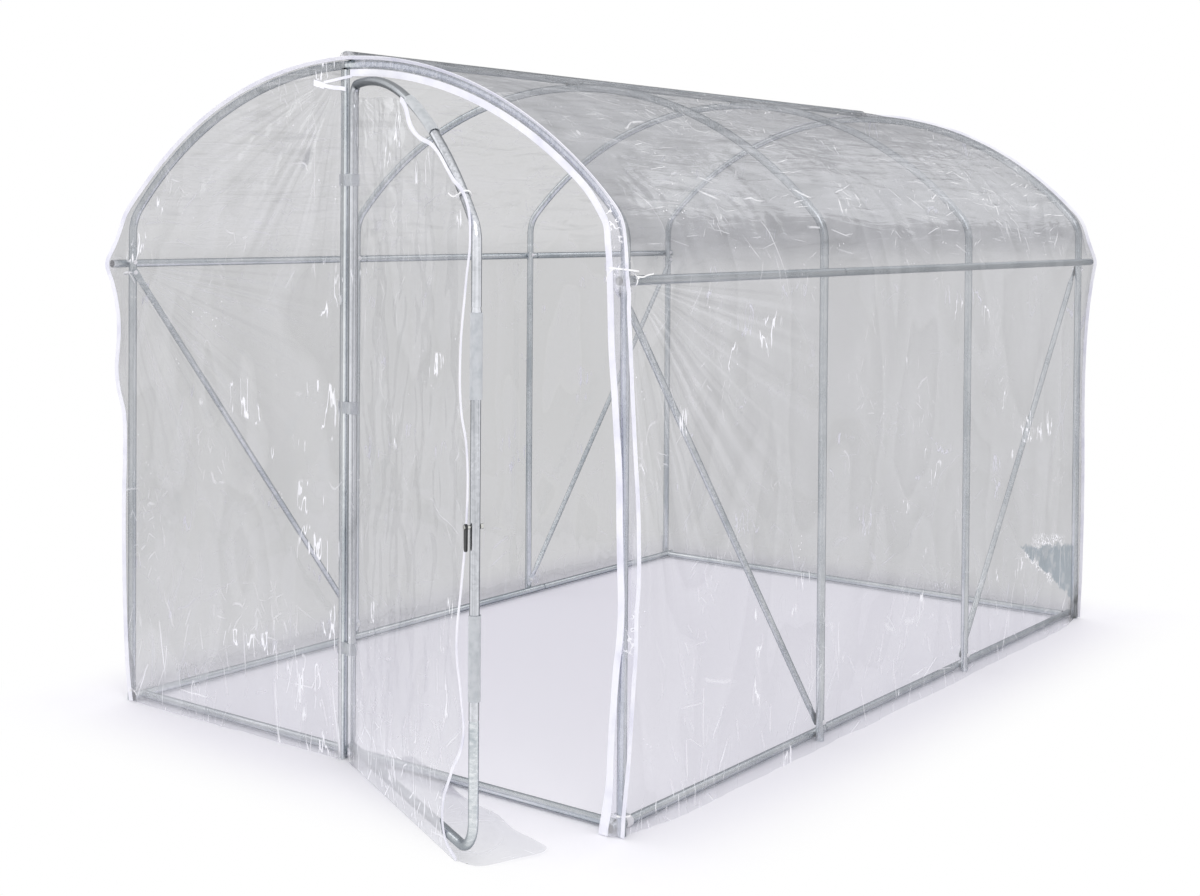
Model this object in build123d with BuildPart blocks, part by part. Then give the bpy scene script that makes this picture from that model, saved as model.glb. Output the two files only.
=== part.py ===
import os
from math import acos, atan2, cos, degrees, radians, sin, sqrt

from build123d import *

os.makedirs("parts", exist_ok=True)

# Walk-in film tunnel on a galvanised tube frame, in millimetres.
# X runs across the front, Y from the front gable to the back, Z up. The door stands part open at
# rest, and the origin is on the ground in the middle of the whole, open door included.

# Plan and height, to tube centre lines; each drop is measured down from the piece above
tunnel_length = 3000.0
bay_count = 3
hoop_span = 1956.0
hoop_height = 1987.0
bow_radius = 1290.0
shoulder_radius = 120.0
leg_joint_drop = 42.0
eave_drop = 50.0
base_rail_height = 16.0

# Tubes
tube_diameter = 25.0
tube_wall = 1.0
brace_diameter = 19.0
brace_wall = 1.0
seat_gap = 0.3

# Swaged joints: one end is drawn down and pushed into the next tube
swage_length = 9.0
spigot_length = 38.0
rail_joint_offset = 70.0
rail_overhang = 60.0
ridge_overhang = 18.0
end_rail_joint = 0.0

# Flattened brace ends
tab_thickness = 2.4
tab_width = 24.0
tab_length = 26.0
pinch_length = 40.0
brace_hole = 6.5
brace_top_drop = 28.0
brace_foot_height = 56.0

# Door
post_spacing = 36.0
door_inset = 36.0
door_rest_angle = 26.5
door_bottom_height = 44.0
door_corner_radius = 80.0
door_joint_drop = 149.0
door_lower_joint = 364.0
door_crown_radius = 935.0
door_crown_angle = 20.0
door_elbow_radius = 32.0
door_elbow_leg = 24.0
elbow_spigot = 20.0

# Hinge clips join the post to the door's hinge tube
hinge_clip_heights = (320.0, 1010.0, 1660.0)
hinge_clip_length = 34.0
hinge_clip_wall = 3.0
snap_opening = 20.0
hinge_running_gap = 0.1

# Door latch: a lever hanging from a bolt through the latch post
latch_height = 824.0
latch_bolt_diameter = 6.0
latch_running_gap = 0.06
latch_collar_wall = 2.0
lever_length = 66.0
lever_width = 13.0
lever_thickness = 5.0
lever_pivot_inset = 8.0
lever_standoff = 21.0
latch_head_diameter = 11.0
latch_head_height = 2.5
latch_nut_diameter = 13.0
latch_nut_height = 7.0

# Film, tape and film clips
film_thickness = 1.2
film_post_lap = 8.0
film_door_gap = 1.0
tape_width = 22.0
door_band_width = 18.0
door_band_reach = 8.0
door_skirt_width = 225.0
door_skirt_height = 0.5
film_clip_length = 205.0
film_clip_wall = 1.5
film_clip_arc = 235.0
film_clip_heights = (1228.0, 512.0)
film_clip_bow_angle = 27.0

# Worked out from the above
bow_centre_z = hoop_height - bow_radius
shoulder_across = hoop_span / 2 - shoulder_radius
shoulder_rise = sqrt((bow_radius - shoulder_radius) ** 2 - shoulder_across**2)
shoulder_height = bow_centre_z + shoulder_rise
leg_joint_height = shoulder_height - leg_joint_drop
eave_height = leg_joint_height - eave_drop
brace_top_height = eave_height - brace_top_drop
door_upper_joint = shoulder_height - door_joint_drop
tube_radius = tube_diameter / 2
tube_bore = tube_radius - tube_wall
spigot_radius = tube_bore - seat_gap
half_span = hoop_span / 2
bay_length = tunnel_length / bay_count
crossing = tube_diameter + seat_gap
post_x = -post_spacing / 2
hinge_x = post_spacing / 2
latch_x = half_span - door_inset
swing = radians(door_rest_angle)
lever_face = lever_standoff + lever_thickness
latch_tip = lever_face + seat_gap + latch_head_height
door_reach = (latch_x - hinge_x + latch_head_diameter / 2) * sin(swing) + latch_tip * cos(swing)
front = (door_reach - tunnel_length - rail_overhang) / 2
hoop_rows = [front + bay_length * i for i in range(bay_count + 1)]
back = hoop_rows[-1]
base_rail_x = half_span - crossing
eave_rail_x = half_span + crossing
ridge_height = hoop_height + crossing
film_face = tube_radius + seat_gap


def save(part, label):
    part.label = label
    export_step(part, f"parts/{label}.step")


def bow_points(radius_shift, x_from=0.0):
    """Points of one half of the hoop line, moved in or out by radius_shift."""
    r_bow = bow_radius + radius_shift
    stretch = r_bow / (bow_radius - shoulder_radius)
    tangent = (shoulder_across * stretch, bow_centre_z + shoulder_rise * stretch)
    top = (x_from, bow_centre_z + sqrt(r_bow**2 - x_from**2))
    side = (half_span + radius_shift, shoulder_height)
    return top, tangent, side


def half_bow(radius_shift, x_from, side, foot):
    """One half of the hoop line, from x_from at the top to the foot height, on side 1 or -1."""
    top, tangent, shoulder_end = bow_points(radius_shift, x_from)
    r_bow = (bow_radius + radius_shift) * side
    r_shoulder = (shoulder_radius + radius_shift) * side
    points = [(side * p[0], p[1]) for p in (top, tangent, shoulder_end)]
    RadiusArc(points[0], points[1], r_bow)
    RadiusArc(points[1], points[2], r_shoulder)
    Line(points[2], (points[2][0], foot))


def plain_profile(inner, outer, length):
    """Half section of a plain tube, beside its axis."""
    Polyline((inner, 0), (outer, 0), (outer, length), (inner, length), close=True)


def swaged_profile(length, spigot=spigot_length):
    """Half section of a tube whose far end is drawn down to a spigot."""
    neck = length + swage_length
    tip = neck + spigot
    Polyline(
        (tube_bore, 0),
        (tube_radius, 0),
        (tube_radius, length),
        (spigot_radius, neck),
        (spigot_radius, tip),
        (spigot_radius - tube_wall, tip),
        (spigot_radius - tube_wall, neck),
        (tube_bore, length),
        close=True,
    )


def along_y(x, y, z):
    return Plane(origin=(x, y, z), x_dir=(1, 0, 0), z_dir=(0, 0, 1))


def along_x(x, y, z):
    return Plane(origin=(x, y, z), x_dir=(0, -1, 0), z_dir=(0, 0, 1))


def along_z(x, y, z):
    return Plane(origin=(x, y, z), x_dir=(1, 0, 0), z_dir=(0, -1, 0))


def tube_axis(plane):
    return Axis(plane.origin, plane.y_dir)


# Hoops: two legs with swaged tops and a bent bow over them
for row, y in enumerate(hoop_rows, start=1):
    for side_name, side in (("left", -1), ("right", 1)):
        leg_plane = along_z(side * half_span, y, 0)
        with BuildPart() as leg:
            with BuildSketch(leg_plane):
                with BuildLine():
                    swaged_profile(leg_joint_height - swage_length)
                make_face()
            revolve(axis=tube_axis(leg_plane))
        save(leg.part, f"hoop_{row}_{side_name}_leg")
    with BuildPart() as bow:
        with BuildLine(Plane.XZ.offset(-y)) as bow_line:
            half_bow(0, 0, 1, leg_joint_height)
            half_bow(0, 0, -1, leg_joint_height)
        with BuildSketch(Plane.XY.offset(leg_joint_height)):
            with Locations((half_span, y)):
                Circle(tube_radius)
                Circle(tube_bore, mode=Mode.SUBTRACT)
        sweep(path=bow_line.wires()[0])
    save(bow.part, f"hoop_{row}_bow")

# Long rails, one tube to a bay, swaged into the next just past each hoop
long_rails = {
    "ridge_rail": (0, ridge_height, ridge_overhang),
    "eave_rail_left": (-eave_rail_x, eave_height, rail_overhang),
    "eave_rail_right": (eave_rail_x, eave_height, rail_overhang),
    "base_rail_left": (-base_rail_x, base_rail_height, tube_radius),
    "base_rail_right": (base_rail_x, base_rail_height, tube_radius),
}
for name, (x, z, overhang) in long_rails.items():
    joints = [y + rail_joint_offset for y in hoop_rows[1:-1]]
    starts = [front - overhang] + joints
    ends = joints + [back + overhang]
    with BuildPart() as rail:
        for start, end in zip(starts, ends):
            plane = along_y(x, start, z)
            with BuildSketch(plane):
                with BuildLine():
                    if end == ends[-1]:
                        plain_profile(tube_bore, tube_radius, end - start)
                    else:
                        swaged_profile(end - start - swage_length)
                make_face()
            revolve(axis=tube_axis(plane))
    save(rail.part, name)

# Ground rails across the ends, between the side rails, just inside the end hoops
end_rail_reach = base_rail_x - tube_radius - seat_gap
front_rail_y = front + crossing
back_rail_y = back - crossing
with BuildPart() as front_base_rail:
    plane = along_x(-end_rail_reach, front_rail_y, base_rail_height)
    with BuildSketch(plane):
        with BuildLine():
            swaged_profile(end_rail_reach + end_rail_joint - swage_length)
        make_face()
    revolve(axis=tube_axis(plane))
save(front_base_rail.part, "front_base_rail")

with BuildPart() as door_threshold:
    plane = along_x(end_rail_joint, front_rail_y, base_rail_height)
    with BuildSketch(plane):
        with BuildLine():
            plain_profile(tube_bore, tube_radius, end_rail_reach - end_rail_joint)
        make_face()
    revolve(axis=tube_axis(plane))
save(door_threshold.part, "door_threshold")

with BuildPart() as back_base_rail:
    plane = along_x(-end_rail_reach, back_rail_y, base_rail_height)
    with BuildSketch(plane):
        with BuildLine():
            plain_profile(tube_bore, tube_radius, 2 * end_rail_reach)
        make_face()
    revolve(axis=tube_axis(plane))
save(back_base_rail.part, "back_base_rail")

# Door post, under the crown of the front hoop
post_reach = -post_x + tube_radius
bow_inside = bow_radius - tube_radius
post_top = bow_centre_z + sqrt(bow_inside**2 - post_reach**2) - seat_gap
with BuildPart() as door_post:
    plane = along_z(post_x, front, 0)
    with BuildSketch(plane):
        with BuildLine():
            plain_profile(tube_bore, tube_radius, post_top)
        make_face()
    revolve(axis=tube_axis(plane))
save(door_post.part, "door_post")

# Braces in the end bays, from the top of each end hoop to the foot of the next hoop
brace_x = half_span - tube_radius - seat_gap - tab_thickness / 2
brace_rise = brace_top_height - brace_foot_height
brace_length = sqrt(bay_length**2 + brace_rise**2)
brace_runs = {
    "brace_front_left": (-1, front, 1),
    "brace_front_right": (1, front, 1),
    "brace_back_left": (-1, back, -1),
    "brace_back_right": (1, back, -1),
}
for name, (side, start_y, heading) in brace_runs.items():
    top_point = Vector(side * brace_x, start_y, brace_top_height)
    foot_point = Vector(side * brace_x, start_y + heading * bay_length, brace_foot_height)
    run = (foot_point - top_point).normalized()
    with BuildPart() as brace:
        for end_point, inward in ((top_point, run), (foot_point, run * -1)):
            tab_plane = Plane(origin=end_point, x_dir=inward, z_dir=(1, 0, 0))
            with BuildSketch(tab_plane.offset(-tab_thickness / 2)):
                Circle(tab_width / 2)
                with Locations((tab_length / 2, 0)):
                    Rectangle(tab_length, tab_width)
                Circle(brace_hole / 2, mode=Mode.SUBTRACT)
            extrude(amount=tab_thickness)
            pinch_plane = Plane(origin=end_point + inward * tab_length, x_dir=(1, 0, 0), z_dir=inward)
            with BuildSketch(pinch_plane):
                Ellipse(tab_thickness / 2, tab_width / 2)
            with BuildSketch(pinch_plane.offset(pinch_length)):
                Circle(brace_diameter / 2)
            loft()
        tube_start = tab_length + pinch_length
        tube_plane = Plane(origin=top_point + run * tube_start, x_dir=(1, 0, 0), z_dir=run)
        with BuildSketch(tube_plane):
            Circle(brace_diameter / 2)
            Circle(brace_diameter / 2 - brace_wall, mode=Mode.SUBTRACT)
        extrude(amount=brace_length - 2 * tube_start)
    save(brace.part, name)

# Cover film, stretched over the rails and bows: the tight outline round them all
wall_x = eave_rail_x + film_face
film_reach = film_face + film_thickness


def cover_lines(reach):
    """Edges of the frame seen from the end, at the given reach from the tube centres."""
    foot_x = eave_rail_x + reach
    for side in (-1, 1):
        half_bow(reach, 0, side, eave_height)
    Line((-foot_x, 0), (foot_x, 0))
    for rail_centre in ((eave_rail_x, eave_height), (-eave_rail_x, eave_height), (0, ridge_height)):
        CenterArc(rail_centre, reach, 0, 360)


roof_top = 2 * ridge_height
cover_boxes = {
    "cover_left_wall": ((-2 * wall_x, 0), (0, eave_height)),
    "cover_right_wall": ((0, 0), (2 * wall_x, eave_height)),
    "cover_left_roof": ((-2 * wall_x, eave_height), (0, roof_top)),
    "cover_right_roof": ((0, eave_height), (2 * wall_x, roof_top)),
}
cover_length = tunnel_length + 2 * film_face
for name, (low, high) in cover_boxes.items():
    with BuildPart() as cover:
        with BuildSketch(Plane.XZ.offset(-back - film_face)):
            with BuildLine() as outside:
                cover_lines(film_reach)
            make_hull(outside.edges())
            with BuildLine() as inside:
                cover_lines(film_face)
            make_hull(inside.edges(), mode=Mode.SUBTRACT)
            with Locations(((low[0] + high[0]) / 2, (low[1] + high[1]) / 2)):
                Rectangle(high[0] - low[0], high[1] - low[1], mode=Mode.INTERSECT)
        extrude(amount=cover_length)
    save(cover.part, name)


def gable_lines(shift, x_from, sides):
    """Edges of the shape under the hoop line moved by shift, from x_from outwards."""
    reach = half_span + shift
    for side in sides:
        half_bow(shift, x_from, side, 0)
    if len(sides) == 2:
        Line((-reach, 0), (reach, 0))
    else:
        side = sides[0]
        top = bow_points(shift, x_from)[0]
        Polyline((side * reach, 0), (side * x_from, 0), (side * x_from, top[1]))


# End film: the whole back gable, and the left half of the front one up to the post
with BuildPart() as back_film:
    with BuildSketch(Plane.XZ.offset(-back - film_reach)):
        with BuildLine():
            gable_lines(tube_radius, 0, (-1, 1))
        make_face()
    extrude(amount=film_thickness)
save(back_film.part, "back_film")

front_film_edge = -post_x - film_post_lap
with BuildPart() as front_film:
    with BuildSketch(Plane.XZ.offset(-front + film_face)):
        with BuildLine():
            gable_lines(tube_radius, front_film_edge, (-1,))
        make_face()
    extrude(amount=film_thickness)
save(front_film.part, "front_film")

# White tape welded along the front edge of the film, and along the inside of the door opening
with BuildPart() as front_edge_tape:
    with BuildSketch(Plane.XZ.offset(-front + film_reach + seat_gap)):
        with BuildLine():
            gable_lines(tube_radius, 0, (-1, 1))
        make_face()
        with BuildLine():
            gable_lines(tube_radius - tape_width, 0, (-1, 1))
        make_face(mode=Mode.SUBTRACT)
    extrude(amount=film_thickness)
save(front_edge_tape.part, "front_edge_tape")

band_shifts = (door_band_reach, door_band_reach - door_band_width)
band_foot = base_rail_height + tube_diameter
band_sides = [half_span + shift for shift in band_shifts]
band_tops = [bow_points(shift, hinge_x)[0] for shift in band_shifts]
with BuildPart() as door_side_band:
    with BuildSketch(Plane.XZ.offset(-front - film_face)):
        with BuildLine():
            for shift in band_shifts:
                half_bow(shift, hinge_x, 1, band_foot)
            Line(band_tops[0], band_tops[1])
            Line((band_sides[0], band_foot), (band_sides[1], band_foot))
        make_face()
    extrude(amount=-film_thickness)
save(door_side_band.part, "door_side_band")

# Hinge clips: two snap rings side by side, tight on the post and free on the door's hinge tube
clip_reach = tube_radius + seat_gap + hinge_clip_wall
with BuildPart() as hinge_clips:
    for height in hinge_clip_heights:
        with BuildSketch(Plane((0, front, height - hinge_clip_length / 2), x_dir=(1, 0, 0))):
            with Locations((post_x, 0), (hinge_x, 0)):
                Circle(clip_reach)
            Rectangle(post_spacing, clip_reach)
            with Locations((post_x, 0)):
                Circle(tube_radius + seat_gap, mode=Mode.SUBTRACT)
            with Locations((hinge_x, 0)):
                Circle(tube_radius + hinge_running_gap, mode=Mode.SUBTRACT)
            with Locations((post_x, -clip_reach)):
                Rectangle(snap_opening, 2 * clip_reach - 2 * tube_bore, mode=Mode.SUBTRACT)
        extrude(amount=hinge_clip_length)
save(hinge_clips.part, "hinge_clips")

# Door, turned about its hinge tube to the rest angle. On the leaf plane, x is the distance that
# the point has from the middle of the tunnel when the door is shut, y is the height, and the
# normal points outwards.
leaf_x = Vector(cos(swing), -sin(swing), 0)
leaf_out = Vector(-sin(swing), -cos(swing), 0)
leaf_in = leaf_out * -1
hinge_foot = Vector(hinge_x, front, 0)
leaf = Plane(origin=hinge_foot - leaf_x * hinge_x, x_dir=leaf_x, z_dir=leaf_out)
bow_shift = -door_inset


def leaf_point(x, z, out=0.0):
    return leaf.from_local_coords((x, z, out))


def upright_plane(x, z, out=0.0):
    """Plane standing in the leaf, with its y axis up and its normal outwards."""
    return Plane(origin=leaf_point(x, z, out), x_dir=leaf_x, z_dir=leaf_out)


def level_plane(x, z, out=0.0):
    """Level plane in line with the leaf."""
    return Plane(origin=leaf_point(x, z, out), x_dir=leaf_x, z_dir=(0, 0, 1))


# Line of the door's bow: up from the hinge tube, round a tight elbow, over a flatter crown, then
# in step with the front hoop and down to the latch post
door_bow_radius = bow_radius + bow_shift
crown_start = 90 - door_crown_angle
shoulder_start = degrees(atan2(shoulder_rise, shoulder_across))
crown_drop = door_bow_radius - door_crown_radius
crown_x = crown_drop * cos(radians(crown_start))
crown_z = bow_centre_z + crown_drop * sin(radians(crown_start))
elbow_x = hinge_x + door_elbow_radius
elbow_z = crown_z + sqrt((door_crown_radius - door_elbow_radius) ** 2 - (elbow_x - crown_x) ** 2)
elbow_end = degrees(atan2(elbow_z - crown_z, elbow_x - crown_x))
hinge_joint_height = elbow_z - door_elbow_leg


def door_bow_lines(elbow_start, foot):
    """The bow's line from an angle on its elbow to the foot height on the latch side."""
    CenterArc((elbow_x, elbow_z), door_elbow_radius, elbow_start, elbow_end - elbow_start)
    CenterArc((crown_x, crown_z), door_crown_radius, elbow_end, crown_start - elbow_end)
    CenterArc((0, bow_centre_z), door_bow_radius, crown_start, shoulder_start - crown_start)
    corner = (shoulder_across, shoulder_height)
    CenterArc(corner, shoulder_radius + bow_shift, shoulder_start, -shoulder_start)
    Line((latch_x, shoulder_height), (latch_x, foot))


hinge_tube_bottom = door_bottom_height - tube_diameter
with BuildPart() as door_hinge_tube:
    plane = upright_plane(hinge_x, hinge_tube_bottom)
    with BuildSketch(plane):
        with BuildLine():
            swaged_profile(hinge_joint_height - swage_length - hinge_tube_bottom, elbow_spigot)
        make_face()
    revolve(axis=tube_axis(plane))
save(door_hinge_tube.part, "door_hinge_tube")

with BuildPart() as door_bow:
    with BuildLine(leaf) as door_bow_line:
        Line((hinge_x, hinge_joint_height), (hinge_x, elbow_z))
        door_bow_lines(180, door_upper_joint)
    with BuildSketch(level_plane(latch_x, door_upper_joint)):
        Circle(tube_radius)
        Circle(tube_bore, mode=Mode.SUBTRACT)
    sweep(path=door_bow_line.wires()[0])
save(door_bow.part, "door_bow")

with BuildPart() as door_latch_post:
    plane = upright_plane(latch_x, door_lower_joint)
    with BuildSketch(plane):
        with BuildLine():
            swaged_profile(door_upper_joint - door_lower_joint - swage_length)
        make_face()
    revolve(axis=tube_axis(plane))
    with BuildSketch(upright_plane(latch_x, latch_height)):
        Circle(latch_bolt_diameter / 2 + seat_gap)
    extrude(amount=tube_diameter, both=True, mode=Mode.SUBTRACT)
save(door_latch_post.part, "door_latch_post")

# Bottom tube, bent up at the outer corner, its inner end coped to the hinge tube
corner_top = door_lower_joint - swage_length
with BuildPart() as door_bottom_tube:
    with BuildLine(leaf) as door_bottom_line:
        FilletPolyline(
            (hinge_x, door_bottom_height),
            (latch_x, door_bottom_height),
            (latch_x, corner_top),
            radius=door_corner_radius,
        )
    hinge_end = leaf_point(hinge_x, door_bottom_height)
    with BuildSketch(Plane(origin=hinge_end, x_dir=leaf_out, z_dir=leaf_x)):
        Circle(tube_radius)
        Circle(tube_bore, mode=Mode.SUBTRACT)
    sweep(path=door_bottom_line.wires()[0])
    plane = upright_plane(latch_x, corner_top)
    with BuildSketch(plane):
        with BuildLine():
            Polyline(
                (tube_bore, 0),
                (tube_radius, 0),
                (spigot_radius, swage_length),
                (spigot_radius, swage_length + spigot_length),
                (spigot_radius - tube_wall, swage_length + spigot_length),
                (spigot_radius - tube_wall, swage_length),
                close=True,
            )
        make_face()
    revolve(axis=tube_axis(plane))
    with BuildSketch(Plane(hinge_foot, x_dir=leaf_x)):
        Circle(tube_radius + seat_gap)
    extrude(amount=door_bottom_height + tube_diameter, mode=Mode.SUBTRACT)
save(door_bottom_tube.part, "door_bottom_tube")

# Door film on the outer face of the leaf, and the skirt that lies inwards on the ground
door_film_edge = hinge_x + clip_reach + film_door_gap
film_elbow_angle = acos((door_film_edge - elbow_x) / door_elbow_radius)
film_top = elbow_z + door_elbow_radius * sin(film_elbow_angle)
with BuildPart() as door_film:
    with BuildSketch(leaf.offset(film_face)):
        with BuildLine():
            door_bow_lines(degrees(film_elbow_angle), door_skirt_height)
            Line((latch_x, door_skirt_height), (door_film_edge, door_skirt_height))
            Line((door_film_edge, door_skirt_height), (door_film_edge, film_top))
        make_face()
        with Locations((latch_x, latch_height)):
            Circle(latch_bolt_diameter / 2 + seat_gap, mode=Mode.SUBTRACT)
    extrude(amount=film_thickness)
save(door_film.part, "door_film")

with BuildPart() as door_skirt:
    skirt_length = latch_x - door_film_edge - door_corner_radius / 2
    with BuildSketch(level_plane(door_film_edge, door_skirt_height, film_face - seat_gap)):
        Rectangle(skirt_length, door_skirt_width, align=(Align.MIN, Align.MIN))
    extrude(amount=film_thickness)
save(door_skirt.part, "door_skirt")

# Split sleeves that clip the door film round the tubes, open towards the film
sleeve_bore = film_reach + seat_gap
sleeve_start = -90.0


def sleeve_lines():
    """C section round a tube that runs along the sketch's normal."""
    inner = CenterArc((0, 0), sleeve_bore, sleeve_start, film_clip_arc)
    outer = CenterArc((0, 0), sleeve_bore + film_clip_wall, sleeve_start, film_clip_arc)
    Line(inner @ 0, outer @ 0)
    Line(inner @ 1, outer @ 1)


with BuildPart() as door_film_clips:
    for height in film_clip_heights:
        with BuildSketch(level_plane(latch_x, height - film_clip_length / 2)):
            with BuildLine():
                sleeve_lines()
            make_face()
        extrude(amount=film_clip_length)
    clip_turn = film_clip_length / door_bow_radius
    first_angle = radians(film_clip_bow_angle) + clip_turn / 2
    radial = leaf_x * sin(first_angle) + Vector(0, 0, cos(first_angle))
    clip_start = leaf_point(0, bow_centre_z) + radial * door_bow_radius
    with BuildSketch(Plane(origin=clip_start, x_dir=radial, z_dir=radial.cross(leaf_in))):
        with BuildLine():
            sleeve_lines()
        make_face()
    revolve(axis=Axis(leaf_point(0, bow_centre_z), leaf_out), revolution_arc=degrees(clip_turn))
save(door_film_clips.part, "door_film_clips")

# Latch: a bolt through the post, a collar, the lever hanging on it, and a cap nut inside
bolt_radius = latch_bolt_diameter / 2
bolt_rings = (
    (-film_face, lever_face + seat_gap, bolt_radius),
    (film_reach + seat_gap, lever_standoff - seat_gap, bolt_radius + latch_collar_wall),
    (lever_face + seat_gap, latch_tip, latch_head_diameter / 2),
    (-film_face - latch_nut_height, -film_face, latch_nut_diameter / 2),
)
with BuildPart() as latch_bolt:
    for ring_start, ring_end, ring_radius in bolt_rings:
        with BuildSketch(upright_plane(latch_x, latch_height, ring_start)):
            Circle(ring_radius)
        extrude(amount=ring_end - ring_start)
save(latch_bolt.part, "latch_bolt")

with BuildPart() as latch_lever:
    lever_tip = lever_pivot_inset + lever_width / 2 - lever_length
    with BuildSketch(upright_plane(latch_x, latch_height, lever_standoff)):
        with BuildLine():
            CenterArc((0, 0), lever_pivot_inset, 0, 360)
            CenterArc((0, lever_tip), lever_width / 2, 0, 360)
        make_hull()
        Circle(bolt_radius + latch_running_gap, mode=Mode.SUBTRACT)
    extrude(amount=lever_thickness)
save(latch_lever.part, "latch_lever")
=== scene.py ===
import math
import bpy
import numpy as np
from mathutils import Matrix, Vector, noise


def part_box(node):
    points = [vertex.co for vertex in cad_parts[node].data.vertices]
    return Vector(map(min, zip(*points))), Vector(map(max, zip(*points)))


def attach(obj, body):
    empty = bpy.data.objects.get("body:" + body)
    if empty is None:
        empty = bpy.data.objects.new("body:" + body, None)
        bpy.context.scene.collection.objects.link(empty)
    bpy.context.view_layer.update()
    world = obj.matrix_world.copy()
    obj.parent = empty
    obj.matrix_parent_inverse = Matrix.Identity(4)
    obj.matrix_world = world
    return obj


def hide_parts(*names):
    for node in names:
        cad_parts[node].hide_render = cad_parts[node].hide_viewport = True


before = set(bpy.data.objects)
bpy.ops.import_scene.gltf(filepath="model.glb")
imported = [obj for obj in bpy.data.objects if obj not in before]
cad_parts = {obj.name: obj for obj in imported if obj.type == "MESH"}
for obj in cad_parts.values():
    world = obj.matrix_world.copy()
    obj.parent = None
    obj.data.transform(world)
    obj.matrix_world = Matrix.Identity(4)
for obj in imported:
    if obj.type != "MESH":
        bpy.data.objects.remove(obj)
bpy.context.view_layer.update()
bpy.ops.object.select_all(action="DESELECT")
print("frame loaded")


def middle(node):
    low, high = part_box(node)
    return (low + high) / 2


legLow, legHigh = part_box("hoop_1_right_leg")
tubeRadius = (legHigh.x - legLow.x) / 2
halfSpan = (legHigh.x + legLow.x) / 2
front = middle("hoop_1_right_leg").y
back = middle("hoop_4_right_leg").y
bay = (back - front) / 3
hoopPlaces = [front, front + bay, front + 2 * bay, back]
eaveX = middle("eave_rail_right").x
eaveZ = middle("eave_rail_right").z
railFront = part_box("eave_rail_right")[0].y
ridgeZ = middle("ridge_rail").z
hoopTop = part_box("hoop_1_bow")[1].z - tubeRadius
hinge = middle("door_hinge_tube")
hingeX = hinge.x
toLatch = middle("door_latch_post") - hinge
toLatch.z = 0
leafAlong = toLatch.normalized()
leafOut = Vector((leafAlong.y, -leafAlong.x, 0))
latchX = hingeX + toLatch.length
postX = middle("door_post").x

hoopShape = {"bowRadius": 1.29, "shoulderRadius": 0.12}
bowRadius, shoulderRadius = hoopShape["bowRadius"], hoopShape["shoulderRadius"]
bowZ = hoopTop - bowRadius
shoulderX = halfSpan - shoulderRadius
shoulderLift = math.sqrt((bowRadius - shoulderRadius) ** 2 - shoulderX ** 2)
shoulderZ = bowZ + shoulderLift
meetBow = math.degrees(math.atan2(shoulderLift, shoulderX))  # turn at which the shoulder's bend meets the bow

filmGap = 0.0136  # from a tube's centre line to film that lies on it
onGround = 0.0012  # height of film that lies on the ground


def leafPoint(u, z, out=0):
    # u, z and out may be arrays: a place on the door leaf, measured as when it is shut
    u, z, out = np.broadcast_arrays(np.asarray(u, float), z, out)
    return np.stack([
        hinge.x + leafAlong.x * (u - hingeX) + leafOut.x * out,
        hinge.y + leafAlong.y * (u - hingeX) + leafOut.y * out,
        z], axis=-1)


def arcPoints(centre, radius, start, end, count):
    turn = np.radians(np.linspace(start, end, count))
    return np.column_stack([centre[0] + radius * np.cos(turn), centre[1] + radius * np.sin(turn)])


# how far along a line each of its points is
def lineRun(points):
    return np.concatenate([[0], np.cumsum(np.linalg.norm(np.diff(points, axis=0), axis=1))])


# points at the given shares of a line's length
def alongLine(points, places, values=None):
    run = lineRun(points)
    values = points if values is None else values
    return np.column_stack([np.interp(places * run[-1], run, column) for column in values.T])


# the way out of a flat line at the given shares: to the right of the way it runs
def outwardOf(points, places):
    way = alongLine(points, np.clip(places + 1e-4, 0, 1)) - alongLine(points, np.clip(places - 1e-4, 0, 1))
    way /= np.linalg.norm(way, axis=1)[:, None]
    return np.column_stack([way[:, 1], -way[:, 0]])


# a Bezier line through a few points, as an array
def smoothLine(points, steps=14):
    curve = bpy.data.curves.new("guide", "CURVE")
    curve.dimensions = "3D"
    curve.resolution_u = steps
    spline = curve.splines.new("BEZIER")
    spline.bezier_points.add(len(points) - 1)
    for knot, place in zip(spline.bezier_points, points):
        knot.co = (place[0], place[1], place[2] if len(place) > 2 else 0)
        knot.handle_left_type = knot.handle_right_type = "AUTO"
    holder = bpy.data.objects.new("guide", curve)
    bpy.context.scene.collection.objects.link(holder)
    mesh = bpy.data.meshes.new_from_object(holder.evaluated_get(bpy.context.evaluated_depsgraph_get()))
    line = np.array([v.co for v in mesh.vertices])
    bpy.data.objects.remove(holder)
    bpy.data.curves.remove(curve)
    bpy.data.meshes.remove(mesh)
    return line[:, :len(points[0])]


def ease(values, low, high):
    t = np.clip((np.asarray(values, float) - low) / (high - low), 0, 1)
    return t * t * (3 - 2 * t)


# 1 at a place and nothing well away from it
def nearness(distance, size):
    return np.exp(-(distance / size) ** 2)


# fold heights at each point, from -1 to 1 in each layer: a layer is where its pattern starts, how long its folds
# run on each axis, their size, and its share, with "crease" for sharp folds
def folds(points, *layers):
    total = 0
    for start, stretch, size, share, *crease in layers:
        heights = np.array([noise.noise(p) for p in (points + start) / (np.array(stretch) * size)])
        total = total + share * (1 - 2.4 * np.abs(heights) if crease else heights)
    return total


def only(piece=None):
    bpy.ops.object.select_all(action="DESELECT")
    if piece:
        piece.select_set(True)
        bpy.context.view_layer.objects.active = piece


def named(piece, name):
    piece.name = name
    piece.data.name = name
    return piece


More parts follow.
